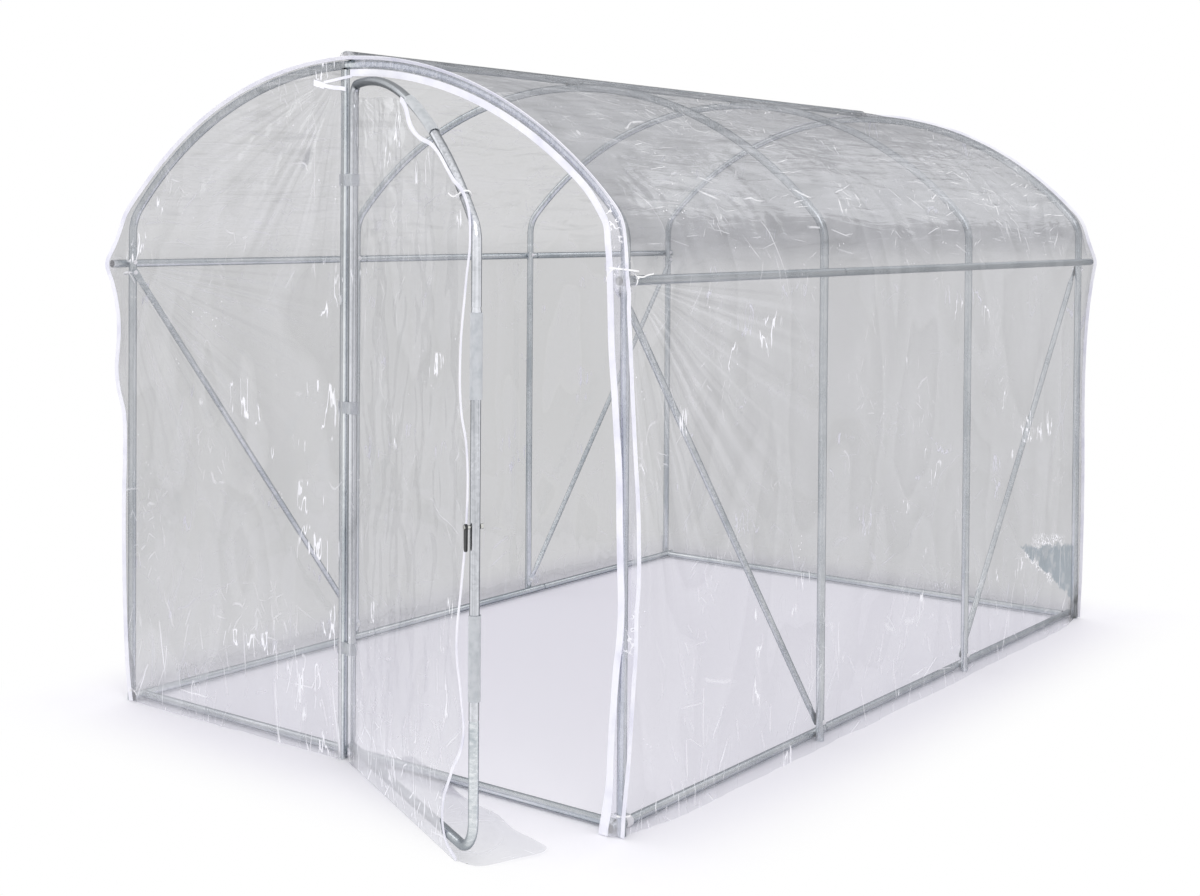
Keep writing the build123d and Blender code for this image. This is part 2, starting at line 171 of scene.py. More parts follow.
# a flat grid whose corners run 0 to 1, mapped to a surface by place
def sheetGrid(name, columns, rows, place):
    only()
    bpy.ops.mesh.primitive_grid_add(x_subdivisions=columns, y_subdivisions=rows, size=2)
    piece = named(bpy.context.object, name)
    flat = np.array([corner.co for corner in piece.data.vertices])
    points = place((flat[:, 0] + 1) / 2, (flat[:, 1] + 1) / 2)
    piece.data.vertices.foreach_set("co", points.astype(np.float32).ravel())
    piece.data.update()
    bpy.ops.object.shade_smooth()
    return piece


# turns a sheet's faces away from an inner point
def faceAway(piece, inside):
    away = sum((face.center - Vector(inside)).dot(face.normal) for face in piece.data.polygons)
    if away < 0:
        piece.data.flip_normals()


def smoothBy(degrees):
    bpy.ops.object.shade_smooth_by_angle(angle=math.radians(degrees))


def applied(piece, kind, **settings):
    modifier = piece.modifiers.new(kind.lower(), kind)
    for key, value in settings.items():
        setattr(modifier, key, value)
    bpy.ops.object.modifier_apply(modifier=modifier.name)


def finishPiece(piece, material, body):
    piece.data.materials.clear()
    piece.data.materials.append(material)
    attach(piece, body)


def shade(code):
    parts = [int(code[i:i + 2], 16) / 255 for i in (1, 3, 5)]  # sRGB hex to linear
    return tuple(p / 12.92 if p <= 0.04045 else ((p + 0.055) / 1.055) ** 2.4 for p in parts) + (1,)


# a node's output that adds, subtracts and multiplies as a number does, so that a pattern reads as a sum
class Field:
    def __init__(self, socket):
        self.socket = socket

    def __add__(self, other):
        return reckon("ADD", self, other)

    def __sub__(self, other):
        return reckon("SUBTRACT", self, other)

    def __rsub__(self, other):
        return reckon("SUBTRACT", other, self)

    def __mul__(self, other):
        return reckon("MULTIPLY", self, other)

    def __abs__(self):
        return reckon("ABSOLUTE", self)


making = {}  # "tree" is the node tree that addNode adds to


# adds a node: a setting is a property or a socket, and takes a value, a hex colour, or a node or field to link in
def addNode(kind, settings=None):
    node = making["tree"].nodes.new("ShaderNode" + kind)
    for key, value in (settings or {}).items():  # operation, data_type and the like come first
        if isinstance(value, bpy.types.Node):
            value = value.outputs[0]
        elif isinstance(value, Field):
            value = value.socket
        if isinstance(value, bpy.types.NodeSocket):
            making["tree"].links.new(value, node.inputs[key])
        elif isinstance(key, int) or key in node.inputs:
            node.inputs[key].default_value = shade(value) if isinstance(value, str) else value
        else:
            setattr(node, key, value)
    return node


def field(kind, settings=None, output=0):
    return Field(addNode(kind, settings).outputs[output])


def newMaterial(name):
    material = bpy.data.materials.new(name)
    material.use_nodes = True
    material.node_tree.nodes.clear()
    making["tree"] = material.node_tree
    return material, field("TexCoord", output="Object")


def ramp(source, low, high, outLow=0, outHigh=1):
    return field("MapRange", {1: low, 2: high, 3: outLow, 4: outHigh, "interpolation_type": "SMOOTHSTEP", 0: source})


def reckon(operation, *values):
    return field("Math", {"operation": operation, **dict(enumerate(values))})


def largest(*values):
    top = values[0]
    for value in values[1:]:
        top = reckon("MAXIMUM", top, value)
    return top


def awayFrom(across, up):
    return reckon("SQRT", across * across + up * up)


def blendColour(share, first, second):
    return field("Mix", {"data_type": "RGBA", 0: share, 6: first, 7: second}, 2)


# one straight crease line in each cell of a Voronoi pattern; lean squeezes the directions they take
def creaseLines(place, perMetre, lean, width):
    cell = addNode("TexVoronoi", {"Scale": perMetre, "Vector": place})
    local = addNode("VectorMath", {"operation": "SUBTRACT", 0: place, 1: cell.outputs["Position"]})
    aim = addNode("VectorMath", {"operation": "SUBTRACT", 1: (0.5, 0.5, 0.5), 0: cell.outputs["Color"]})
    leaning = addNode("VectorMath", {"operation": "MULTIPLY", 1: lean, 0: aim})
    unit = addNode("VectorMath", {"operation": "NORMALIZE", 0: leaning})
    off = field("VectorMath", {"operation": "DOT_PRODUCT", 0: local, 1: unit}, "Value")
    return ramp(abs(off), width * 0.3, width, 1, 0) * ramp(cell, 0.35, 0.75, 1, 0)


def patches(place, perMetre, low, high):
    return ramp(field("TexNoise", {"Scale": perMetre, "Detail": 1, "Vector": place}), low, high)


# a contour line of a slow pattern: a long bent crease
def bentLine(value, level, width):
    return ramp(abs(value - level), width * 0.4, width, 1, 0)


# streaks that fan out from a tie on a flat panel; across and up are measured from the tie
def fanStreaks(across, up, count, reachOut):
    turned = reckon("ARCTAN2", across, up)
    far = awayFrom(across, up)
    streaks = field("TexNoise", {"noise_dimensions": "1D", "Detail": 1, "Scale": 1, "W": turned * count})
    return streaks, ramp(far, reachOut, reachOut * 0.25) * ramp(far, 0, 0.05)


# the darker roof and inner face tints, outsideRoof, inside, insideRoof and insideBack, are painted shade
filmLook = {
    "outside": "#f5f5f5", "outsideWall": "#fafafa", "outsideRoof": "#cacbce",
    "inside": "#d2d2d2", "insideRoof": "#dcdcdc", "insideBack": "#c6c6c7",
    "castShadow": "#d8d7dd", "leafShadow": "#f3f3f6", "body": "#f7f7fc", "gleam": "#e4e6e9",
    "haze": 0.06, "lowHaze": 0.15, "hingeHaze": 0.34, "hemHaze": 0.3, "stress": 0.34,
    "wallFold": 0.08, "roofStreak": 0.15, "fan": 0.24, "crease": 0.6, "creaseWidth": 0.0024,
    "sparksPerMetre": 75, "sparkSize": 0.0026, "shine": 0.12, "offset": (3.1, 1.7, 5.3)}
# the dull patch's top and foot edges, as heights where it starts and how much they drop a metre further back
darkPatchShape = {"start": back - 0.58, "top": 0.375, "topDrop": 0.135, "foot": 0.345, "footDrop": 0.53,
              "colour": "#b6c3cb", "darkFoot": "#777a74"}


# Clear flexible PVC film, calendered and folded for packing: see-through and glossy, with white creases, partly its
# own whitened creases and partly painted highlights, and soft folds that hang from its ties, with painted light and
# shade on them. Its roof and its inner face are tinted darker, the back end's inner face more so: painted shade.
def clearFilm(name):
    look = filmLook
    material, place = newMaterial(name)
    moved = field("VectorMath", {"operation": "ADD", 1: look["offset"], 0: place})
    axes = addNode("SeparateXYZ", {0: place})
    x, y, z = (Field(axes.outputs[axis]) for axis in "XYZ")
    besideX = abs(x)
    gable = ramp(y, front - 0.006, front - 0.01)
    rear = ramp(y, back + 0.006, back + 0.01)
    ends = largest(gable, rear)
    leaf = ramp(y, front - 0.03, front - 0.06)
    roof = ramp(z, eaveZ - 0.02, eaveZ + 0.12) * (1 - ends)
    low = ramp(z, 0.6, 0.06)
    wall = ramp(besideX, eaveX - 0.03, eaveX - 0.01) * ramp(z, eaveZ + 0.02, eaveZ - 0.02)

    # white where the film is strained over the rail ends
    nearEave = ramp(awayFrom(besideX - eaveX, z - eaveZ), 0.034, 0.014, 0, 0.35)
    nearRidge = ramp(awayFrom(x, z - ridgeZ), 0.034, 0.014)
    strained = largest(nearEave, nearRidge) * ramp(y, front + 0.004, front - 0.012)

    # white crease lines, partly the film's own whitened creases and partly painted highlights;
    # creases are thinner than this in life; drawn wide enough to show
    width = look["creaseWidth"]
    tufts = creaseLines(place, 6, (1, 1, 0.3), width) * low * patches(moved, 2.6, 0.42, 0.58)
    tuftsFine = creaseLines(moved, 10, (1, 1, 0.45), width * 0.8) * low * patches(place, 3.1, 0.4, 0.56)
    starry = creaseLines(place, 13, (1, 1, 0.4), width * 0.9) * patches(place, 2.3, 0.57, 0.68)
    minor = creaseLines(moved, 27, (1, 1, 0.6), width * 0.7) * patches(moved, 3.4, 0.56, 0.66)
    roofLines = creaseLines(place, 12, (1, 0.22, 1), width * 0.7) * roof * patches(moved, 2.8, 0.44, 0.6)
    hem = leaf * ramp(z, 0.24, 0.05)
    hemLines = creaseLines(moved, 21, (1, 1, 0.5), width) * leaf
    hemLines *= ramp(z, 0.3, 0.1) * ramp(z, 0.01, 0.02)

    # broad folds: soft slopes that end in an edge, from a slow pattern counted off in steps; painted light and
    # shade: each slope goes from darker to whiter and ends in its edge
    wallMap = addNode("Mapping", {"Rotation": (0.3, 0.18, 0), "Scale": (2.3, 2.3, 0.85), "Vector": place})
    wallSlow = field("TexNoise", {"Scale": 1, "Detail": 1.6, "Distortion": 0.5, "Vector": wallMap})
    steps = reckon("FRACT", wallSlow * 7)
    wallFold = steps * ramp(steps, 1, 0.88)
    bent = bentLine(wallSlow, 0.56, 0.0012) * patches(place, 4, 0.54, 0.62)

    # painted reflection: lighter and darker streaks that run lengthwise on the roof, and painted shade along the
    # ridge
    roofMap = addNode("Mapping", {"Rotation": (0, 0, 0.1), "Scale": (26, 3.2, 26), "Vector": place})
    roofSlow = field("TexNoise", {"Scale": 1, "Detail": 4, "Distortion": 0.9, "Vector": roofMap})
    ridgeShade = ramp(besideX, 0.34, 0.02) * ramp(z, ridgeZ - 0.16, ridgeZ - 0.05)

    # folds that fan out from the eave ties on the walls, and from the top of the door post on the gable, with
    # painted light and shade: whiter and darker streaks along them
    wallFan, wallMask = fanStreaks(y - (front - 0.02), eaveZ - z, 19, 1.15)
    gableFan, gableMask = fanStreaks(postX - x, hoopTop - 0.02 - z, 23, 0.85)
    wallMask, gableMask = wallMask * wall, gableMask * gable
    fanLight = largest(wallMask * ramp(wallFan, 0.56, 0.66), gableMask * ramp(gableFan, 0.56, 0.66))
    fanShade = largest(wallMask * ramp(wallFan, 0.46, 0.34), gableMask * ramp(gableFan, 0.46, 0.34))

    # painted highlights: sparkles where the film is crumpled
    dots = addNode("TexVoronoi", {"Scale": look["sparksPerMetre"], "Vector": place})
    dotSize = look["sparksPerMetre"] * look["sparkSize"]
    chosen = field("SeparateColor", {0: dots.outputs["Color"]})
    paintedSparkles = ramp(dots, dotSize * 0.6, dotSize, 1, 0) * ramp(chosen, 0.62, 0.64)
    paintedSparkles *= patches(place, 5.2, 0.61, 0.68)

    # painted highlights: bright upright glints, most of them beside the door post
    squat = addNode("VectorMath", {"operation": "MULTIPLY", 1: (31, 31, 6), 0: moved})
    wavy = field("TexNoise", {"Scale": 1, "Detail": 2, "Vector": squat})
    byPost = ramp(abs(x + 0.11), 0.13, 0.05) * gable * ramp(z, 1.5, 1.3)
    spots = field("TexNoise", {"Scale": 6.5, "Detail": 1, "Vector": moved})
    spotty = largest(ramp(spots, 0.66, 0.7), byPost * ramp(spots, 0.52, 0.56))
    glints = bentLine(wavy, 0.5, 0.028) * spotty * (1 - roof)

    # a dull blue-grey patch low on the right wall by the back leg, with painted highlights as bright crumples at
    # its edges, and darker film at the leg's foot
    mottle = field("TexNoise", {"Scale": 22, "Detail": 3, "Vector": moved})
    wobble = (mottle - 0.5) * 0.07
    rightWall = ramp(x, eaveX - 0.045, eaveX - 0.035)
    run = y - darkPatchShape["start"]
    overTop = z - darkPatchShape["top"] + run * darkPatchShape["topDrop"] + wobble
    overFoot = z - darkPatchShape["foot"] + run * darkPatchShape["footDrop"] + wobble
    darkPatch = ramp(overTop, 0.004, -0.008) * ramp(overFoot, 0, 0.014) * rightWall
    darkPatch *= ramp(y, back - 0.07, back - 0.085) * ramp(mottle, 0.36, 0.5, 0.62, 1)
    darkFoot = ramp(y, back - 0.19, back - 0.06) * ramp(z, 0.17, 0.03) * rightWall
    darkFoot *= ramp(mottle, 0.4, 0.6, 0.4, 1)
    edgeTop = ramp(abs(overTop - 0.018), 0.034, 0.01) * ramp(run, 0.02, 0.12) * ramp(run, 0.42, 0.34)
    edgeFoot = ramp(abs(overFoot), 0.018, 0.005) * ramp(run, -0.03, 0.02) * ramp(run, 0.3, 0.25)
    tight = field("TexNoise", {"Scale": 48, "Detail": 2, "Vector": place})
    crumpled = largest(edgeTop, edgeFoot) * rightWall * bentLine(tight, 0.5, 0.05)

    # how white the film is: its haze, with white creases that are partly painted highlights, painted sparkles and
    # glints, and painted light on the folds and roof streaks
    faint = largest(starry, minor, roofLines, bent) * ramp(roof, 0, 1, 0.5, 0.8)
    creasesAndHighlights = largest(tufts, tuftsFine, hemLines, faint, fanLight * look["fan"])
    byHinge = ramp(abs(x - hingeX * 0.6), 0.036, 0.02) * gable * ramp(z, 0.82, 0.45)
    haze = wallFold * look["wallFold"] + ramp(roofSlow, 0.5, 0.8) * roof * look["roofStreak"] + look["haze"]
    for mask, share in ((creasesAndHighlights, "crease"), (hem, "hemHaze"), (low * gable, "lowHaze"),
                        (strained, "stress"), (byHinge, "hingeHaze")):
        haze += mask * look[share]
    haze = reckon("MINIMUM", largest(haze, paintedSparkles, glints, crumpled), 1)

    # how dark it is, as painted shade on the roof streaks, the ridge, the fan folds and the fold steps, and its
    # tints:
    # the roof and the inner face are tinted darker, the back end's inner face more so, as painted shade
    dark = ramp(roofSlow, 0.5, 0.22) * roof * (ridgeShade * 0.35 + 0.17)
    dark += fanShade * 0.07 + ridgeShade * 0.06 + (1 - steps) * 0.035
    inner = addNode("NewGeometry").outputs["Backfacing"]
    innerShade = blendColour(rear, blendColour(roof, look["inside"], look["insideRoof"]), look["insideBack"])
    outerCoat = blendColour(roof, blendColour(ends, look["outsideWall"], look["outside"]), look["outsideRoof"])
    coat = blendColour(dark, blendColour(inner, outerCoat, innerShade), "#000000")
    coat = blendColour(darkFoot, blendColour(darkPatch, coat, darkPatchShape["colour"]), darkPatchShape["darkFoot"])

    bump = addNode("Bump", {"Strength": 0.4, "Distance": 0.02, "Height": blendColour(roof, wallSlow, roofSlow)})
    see = addNode("BsdfTransparent", {"Color": coat})
    milk = addNode("BsdfPrincipled", {"Base Color": look["body"], "Roughness": 0.3})
    shine = addNode("BsdfGlossy", {"Color": look["gleam"], "Roughness": 0.09, "Normal": bump})
    gloss = reckon("MINIMUM", field("Fresnel", {"IOR": 1.4, "Normal": bump}), look["shine"])
    hazed = addNode("MixShader", {0: haze, 1: see, 2: milk})
    glossy = addNode("MixShader", {0: gloss, 1: hazed, 2: shine})
    # light that only passes through meets plain clear film, so the film's shadow is faint
    passing = addNode("LightPath")
    through = largest(passing.outputs["Is Shadow Ray"], passing.outputs["Is Diffuse Ray"])
    plain = addNode("BsdfTransparent", {"Color": blendColour(leaf, look["castShadow"], look["leafShadow"])})
    last = addNode("MixShader", {0: through, 1: glossy, 2: plain})
    addNode("OutputMaterial", {"Surface": last})
    return material


stripLook = {"clear": "#f3f3f8", "body": "#fbfbff", "haze": 0.16, "streak": 0.2, "knots": 0.22,
             "paintedSquiggles": 0.9, "squiggleSize": 0.024}


# The same clear film in a narrow strip, gathered between the tube and its white band: full of crumples, with painted
# highlights on them as bright squiggles
def crumpledStrip(name):
    look = stripLook
    material, place = newMaterial(name)
    z = field("SeparateXYZ", {0: place}, "Z")
    shoulder = ramp(z, 1.34, 1.42) * ramp(z, 1.7, 1.6) * patches(place, 19, 0.46, 0.54)
    rare = patches(place, 7, 0.56, 0.64) * ramp(z, 1.45, 1.3)
    crumples = field("TexNoise", {"Scale": 1 / look["squiggleSize"], "Detail": 1.5, "Vector": place})
    paintedSquiggles = bentLine(crumples, 0.5, 0.04) * largest(shoulder, rare)
    soft = addNode("Mapping", {"Scale": (60, 60, 7), "Vector": place})
    streak = ramp(field("TexNoise", {"Scale": 1, "Detail": 2, "Vector": soft}), 0.5, 0.75)
    knots = largest(ramp(abs(z - eaveZ), 0.05, 0.015), ramp(z, 0.07, 0.03))
    haze = streak * look["streak"] + look["haze"] + knots * look["knots"]
    haze = largest(haze, paintedSquiggles * look["paintedSquiggles"])
    see = addNode("BsdfTransparent", {"Color": look["clear"]})
    milk = addNode("BsdfPrincipled", {"Base Color": look["body"], "Roughness": 0.25})
    hazed = addNode("MixShader", {0: haze, 1: see, 2: milk})
    addNode("OutputMaterial", {"Surface": hazed})
    return material


# Hot-dip galvanised steel tube: pale grey metal with a faint spangle, drawing marks along the tube and a dull bloom
def galvanisedSteel(name, grain, dark="#b7bfc5", light="#eef1f4", edge="#7b848c", roughness=0.25):
    material, place = newMaterial(name)
    spangle = addNode("TexVoronoi", {"Scale": 1 / 0.009, "Vector": place})  # spangle about 9 mm
    drawn = addNode("Mapping", {"Scale": grain, "Vector": place})
    marks = field("TexNoise", {"Scale": 1, "Detail": 4, "Vector": drawn})
    cloud = field("TexNoise", {"Scale": 5, "Detail": 2, "Vector": place})
    worn = field("SeparateColor", {0: spangle.outputs["Color"]}) * 0.06 + marks * 0.5
    mixed = cloud * 0.4 + worn
    tone = blendColour(ramp(mixed, 0.26, 0.66), dark, light)
    rough = ramp(mixed, 0.26, 0.66, roughness + 0.08, roughness - 0.06)
    bump = addNode("Bump", {"Strength": 0.08, "Distance": 0.0005, "Height": worn})
    steel = addNode("BsdfPrincipled", {"Metallic": 1, "Base Color": tone, "Roughness": rough, "Normal": bump})
    # painted reflection: the tube turns darker round its sides, as if it reflected a darker surrounding
    rim = addNode("BsdfPrincipled", {"Metallic": 1, "Base Color": edge, "Roughness": 0.35})
    glance = ramp(addNode("LayerWeight", {"Blend": 0.5}).outputs["Facing"], 0.28, 0.72, 0, 0.9)
    sided = addNode("MixShader", {0: glance, 1: steel, 2: rim})
    addNode("OutputMaterial", {"Surface": sided})
    return material


# Moulded or pressed plastic: even colour with a soft mottle, and a fine grain to the touch. White PVC edge tape has a
# fine welded grain over a slow mottle; injection moulded parts have a little flow mottle and a soft gloss.
def softPlastic(name, colour, mottle, roughness, size, edges, grain=None, bumpShape=(0.15, 0.0004), clear=0):
    material, place = newMaterial(name)
    flow = field("TexNoise", {"Scale": size[0], "Detail": size[1], "Vector": place})
    fine = field("TexNoise", {"Scale": grain, "Detail": 3, "Vector": place}) if grain else flow
    tone = blendColour(ramp(flow, *edges), colour, mottle)
    bump = addNode("Bump", {"Strength": bumpShape[0], "Distance": bumpShape[1], "Height": fine})
    last = addNode("BsdfPrincipled", {"Roughness": roughness, "Base Color": tone, "Normal": bump})
    if clear:
        see = addNode("BsdfTransparent", {"Color": "#eceef1"})
        last = addNode("MixShader", {0: clear, 1: last, 2: see})
    addNode("OutputMaterial", {"Surface": last})
    return material


film = clearFilm("clear pvc film")
stripFilm = crumpledStrip("crumpled pvc strip")
uprightGrain, longGrain, crossGrain = (130, 130, 1.6), (130, 1.6, 130), (1.6, 130, 130)
steelUp = galvanisedSteel("galvanised steel, upright", uprightGrain)
steelAlong = galvanisedSteel("galvanised steel, lengthwise", longGrain)
steelAcross = galvanisedSteel("galvanised steel, crosswise", crossGrain)
steelDoor = galvanisedSteel("galvanised steel, door", (150, 150, 1.6), "#a9acb1", "#eceef4", "#555b60", 0.18)
zinc = galvanisedSteel("zinc plated bolt", (300, 300, 300), "#b9bab6", "#e8e8e4", "#8b8c88", 0.3)
tape = softPlastic("welded pvc tape", "#f7f7fd", "#e6e6f2", 0.42, (12, 2), (0.4, 0.75), 180, (0.25, 0.0008))
moulding = ((55, 3), (0.35, 0.7))
# the clip plastic's grey is partly its own and partly painted shade
clipPlastic = softPlastic("moulded clip plastic", "#dcdfe2", "#ccd0d4", 0.35, *moulding, clear=0.35)
nylon = softPlastic("moulded nylon", "#fbfbfb", "#f0f0f0", 0.4, *moulding)
leverPlastic = softPlastic("moulded lever plastic", "#17181a", "#26282b", 0.42, *moulding)

nodeFinish = {  # material for each node whose name starts so; the rest is film
    "hoop_": steelUp, "door_post": steelUp,
    "front_base_rail": steelAcross, "back_base_rail": steelAcross,
    "door_threshold": steelAcross, "door_bottom_tube": steelAcross,
    "ridge_rail": steelAlong, "eave_rail": steelAlong, "base_rail": steelAlong, "brace": steelAlong,
    "door_hinge_tube": steelDoor, "door_bow": steelDoor, "door_latch_post": steelDoor,
    "hinge_clips": clipPlastic, "door_film_clips": clipPlastic, "latch_bolt": zinc, "latch_lever": leverPlastic,
    "front_edge_tape": tape, "door_side_band": tape}
for name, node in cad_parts.items():
    node.data.materials.clear()
    node.data.materials.append(next((finish for start, finish in nodeFinish.items() if name.startswith(start)), film))
    bpy.context.view_layer.objects.active = node
    node.select_set(True)
    smoothBy(35)
    node.select_set(False)
print("materials on the frame")

coverShape = {"reach": 0.0134, "pullLength": 0.15, "bulgeNear": 0.08, "bulgeFar": 0.45, "ridgeLift": 0.0099,
              "roofSag": 0.01, "rightShare": 0.75, "wallFold": 0.008, "roofFold": 0.006, "tieFold": 0.006,
              "rows": 300, "columns": 226}
# how far out the end seams stand, by height: the film is drawn in round the end legs
seamShape = {
    "frontLeft": [(0, 0.953), (0.07, 0.966), (0.26, 0.982), (0.45, 0.988), (0.64, 0.989), (0.8, 0.983),
                  (0.93, 0.988), (0.99, 1.01), (1.06, 1.022), (1.12, 1.014), (1.19, 1.004), (1.3, 1.007),
                  (1.4, 1.0167)],
    "frontRight": [(0, 0.986), (0.073, 0.991), (0.176, 1.002), (0.278, 1.01), (0.38, 1.017), (0.48, 1.024),
                   (0.58, 1.026), (0.632, 1.031), (0.782, 1.031), (0.856, 1.028), (0.955, 1.021), (1.054, 1.015),
                   (1.154, 1.01), (1.24, 1.008), (1.328, 1.01), (1.38, 1.018), (1.4, 1.0172)],
    "back": [(0, 0.985), (0.2, 0.992), (0.6, 0.995), (0.78, 0.992), (1, 0.993), (1.15, 0.999),
             (1.3, 1.01), (1.4, 1.0167)]}
seamLines = {edge: smoothLine(points, 8) for edge, points in seamShape.items()}
reach = coverShape["reach"]


# right half of the tight line round rails and bow, from the ground to the ridge
def tautOutline():
    toShoulder = Vector((shoulderX - eaveX, shoulderZ - eaveZ))
    aim = math.atan2(toShoulder.y, toShoulder.x)
    leave = math.degrees(aim - math.acos(-shoulderRadius / toShoulder.length))
    meetRidge = math.degrees(math.asin(bowRadius / (ridgeZ - bowZ)))
    return np.concatenate([
        [(eaveX + reach, 0)],
        arcPoints((eaveX, eaveZ), reach, 0, leave, 4),
        arcPoints((shoulderX, shoulderZ), shoulderRadius + reach, leave, meetBow, 12),
        arcPoints((0, bowZ), bowRadius + reach, meetBow, meetRidge, 60),
        arcPoints((0, ridgeZ), reach, meetRidge, 90, 4)])


halfOutline = tautOutline()
outline = np.concatenate([halfOutline, halfOutline[-2::-1] * np.array([-1, 1])])
outlineLength = lineRun(outline)[-1]


# 1 at the end of an eave rail, which pushes the film out, and less away from it
def railBulge(x, z):
    gap = np.maximum(np.hypot(np.abs(x) - eaveX, z - eaveZ) - 0.018, 0)
    fade = np.clip(1 - (z - eaveZ) / 0.25, 0, 1)
    return 0.72 * np.exp(-gap / coverShape["bulgeNear"]) + 0.28 * fade * np.exp(-gap / coverShape["bulgeFar"])


# how far out the end film stands from the end hoop's centre
def gableDepth(x, z, rest):
    stub = front - railFront + 0.0025
    return rest + (stub - rest) * railBulge(x, z)


def seamX(x, z, end):
    low = np.clip(z, 0, eaveZ)
    wide = {edge: np.interp(low, line[:, 0], line[:, 1]) for edge, line in seamLines.items()}
    wide = wide["back"] if end > 0 else np.where(x > 0, wide["frontRight"], wide["frontLeft"])
    return np.where(z < eaveZ, np.sign(x) * wide, x)


# the place in depth of film that stands so far out from the front (-1) or back (1) hoop
def outFrom(end, depth):
    return front - depth if end < 0 else back + depth


# the welded seam at the front (-1) or back (1): share runs from the right foot to the left
def seam(share, end):
    flat = alongLine(outline, share)
    onBow = bowZ + np.sqrt(np.maximum((bowRadius + reach) ** 2 - flat[:, 0] ** 2, 0))
    z = np.where(flat[:, 1] > shoulderZ, np.minimum(flat[:, 1], onBow), flat[:, 1])
    x = seamX(flat[:, 0], flat[:, 1], end)
    # on the front's right the door strip goes over the rail's end, so the seam bulges less
    bulge = np.where(x > 0, coverShape["rightShare"], 1) if end < 0 else 1
    depth = filmGap + (gableDepth(x, z, filmGap) - filmGap) * bulge
    depth += coverShape["ridgeLift"] * nearness(x, 0.045) * (z > shoulderZ)
    return np.column_stack([x, outFrom(end, depth), z])


# moves points out of the upright tubes of the end hoops
def clearOfLegs(points):
    for legY in (front, back):
        away = np.column_stack([np.abs(points[:, 0]) - halfSpan, points[:, 1] - legY])
        gap = np.linalg.norm(away, axis=1) + 1e-9
        inside = (gap < filmGap) & (points[:, 2] < shoulderZ)
        push = np.where(inside, filmGap / gap, 1)
        points[:, 0] = np.sign(points[:, 0]) * (halfSpan + away[:, 0] * push)
        points[:, 1] = legY + away[:, 1] * push


def placeCover(a, b):
    flat = alongLine(outline, a)
    outward = outwardOf(outline, a)
    z = flat[:, 1]
    frontSeam, backSeam = seam(a, -1), seam(a, 1)
    share = b - 0.09 * np.sin(2 * np.pi * b)  # closer rows near the ends
    y = frontSeam[:, 1] + (backSeam[:, 1] - frontSeam[:, 1]) * share
    fromFront, fromBack = y - frontSeam[:, 1], backSeam[:, 1] - y
    x = flat[:, 0] + (frontSeam[:, 0] - flat[:, 0]) * nearness(fromFront, coverShape["pullLength"])
    x += (backSeam[:, 0] - flat[:, 0]) * nearness(fromBack, coverShape["pullLength"])
    # near the ridge rail the film drops from it to the end bow, at once over the rail's end
    dropLength = 0.003 + 0.12 * ease(np.abs(x), 0.016, 0.08)
    drop = (frontSeam[:, 2] - z) * nearness(fromFront, dropLength)
    z = z + drop + (backSeam[:, 2] - z) * nearness(fromBack, dropLength)
    points = np.column_stack([x, y, z])
    # the film touches the rails and, on the roof, the bows
    toHoop = np.min(np.abs(y[:, None] - np.array(hoopPlaces)), axis=1)
    toEave = np.hypot(np.abs(x) - eaveX, z - eaveZ) - reach
    roofShare = np.clip((z - eaveZ) / (ridgeZ - eaveZ), 0, 1)
    free = (1 - nearness(toEave, 0.07)) * (1 - nearness(np.abs(x), 0.05))
    held = np.where(z > shoulderZ - 0.05, nearness(toHoop, 0.05), 0.6 * nearness(toHoop, 0.04))
    free *= (1 - held) * ease(np.minimum(fromFront, fromBack), 0, 0.08)
    phase = np.clip((y - front) / bay, 0, 3)
    sag = coverShape["roofSag"] * np.sin(np.pi * phase) ** 2 * np.sin(np.pi * roofShare) * free
    wallFolds = folds(points, (0, (1, 0.5, 1.6), 0.3, 0.9), (7, (1, 0.35, 0.8), 0.14, 0.3, "crease"))
    wallFolds += folds(points[:, [0, 2, 1]], (3, (1, 1, 1), 0.09, 0.2))
    roofFolds = folds(points, (11, (0.5, 1.3, 0.5), 0.26, 0.8), (19, (0.6, 0.6, 0.6), 0.12, 0.4, "crease"))
    # folds that fan down from the eave ties
    turned = np.arctan2(fromFront, np.maximum(eaveZ - z, 1e-3))
    span = np.hypot(fromFront, eaveZ - z)
    fan = np.sin(turned * 17 + 1.3 * np.sin(turned * 5)) * ease(span, 1.2, 0.3) * ease(span, 0.02, 0.25)
    onWall = coverShape["wallFold"] * wallFolds + coverShape["tieFold"] * fan
    move = np.where(z > eaveZ, coverShape["roofFold"] * roofFolds, onWall) * free - sag
    hem = np.exp(-z / 0.05) * folds(points, (31, (1, 0.4, 1), 0.22, 0.004)) * (np.abs(x) > 0.5)
    points[:, 0] += outward[:, 0] * (move + hem)
    points[:, 2] += outward[:, 1] * move
    clearOfLegs(points)
    points[:, 2] = np.maximum(points[:, 2], onGround)
    return points


coverFilm = sheetGrid("coverFilm", coverShape["rows"], coverShape["columns"], placeCover)
faceAway(coverFilm, (0, 0.2, 0.7))
finishPiece(coverFilm, film, "frame")
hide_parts("cover_left_wall", "cover_right_wall", "cover_left_roof", "cover_right_roof")
print("cover film")

gableShape = {"fold": 0.009, "cellLength": 0.0155, "middleEdge": -0.0095}


